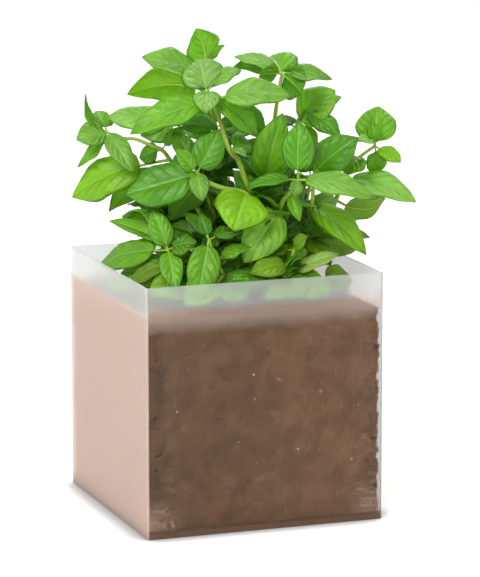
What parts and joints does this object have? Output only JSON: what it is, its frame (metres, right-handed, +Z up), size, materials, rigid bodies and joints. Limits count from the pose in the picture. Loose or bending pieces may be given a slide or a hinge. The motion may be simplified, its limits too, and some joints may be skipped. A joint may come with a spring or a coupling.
{
  "type": "potted basil plant",
  "caption": "Leafy basil plant growing in a square frosted plastic pot filled with dark potting soil.",
  "frame": {"origin": "middle of the pot's flat underside, where it stands on the table", "axes": "+Z up; the pot's broad front faces -Y and its milky side faces -X"},
  "size_m": [0.1792, 0.1622, 0.271],
  "materials": {
    "frosted_plastic": "translucent frosted plastic, thin and smooth",
    "soil": "damp crumbly potting soil with fine roots",
    "basil": "living leaves and soft stems with a waxy sheen"
  },
  "bodies": {
    "root": {"pot": "frosted_plastic", "soil": "soil", "stem_crown": "basil", "stem_top": "basil", "stem_upper_right": "basil", "stem_left_tip": "basil", "stem_left_front": "basil", "stem_low_left": "basil", "stem_low_front": "basil", "stem_mid_right": "basil", "stem_mid_upright": "basil", "stem_right": "basil", "stem_far_right": "basil", "stem_upper_mid_right": "basil", "stem_low_right": "basil", "stem_upper_left": "basil", "stem_back_left": "basil", "stem_back_middle": "basil", "stem_back_right": "basil", "stem_back_far_right": "basil", "stem_low_back_left": "basil", "stem_low_back_right": "basil"}
  },
  "joints": []
}
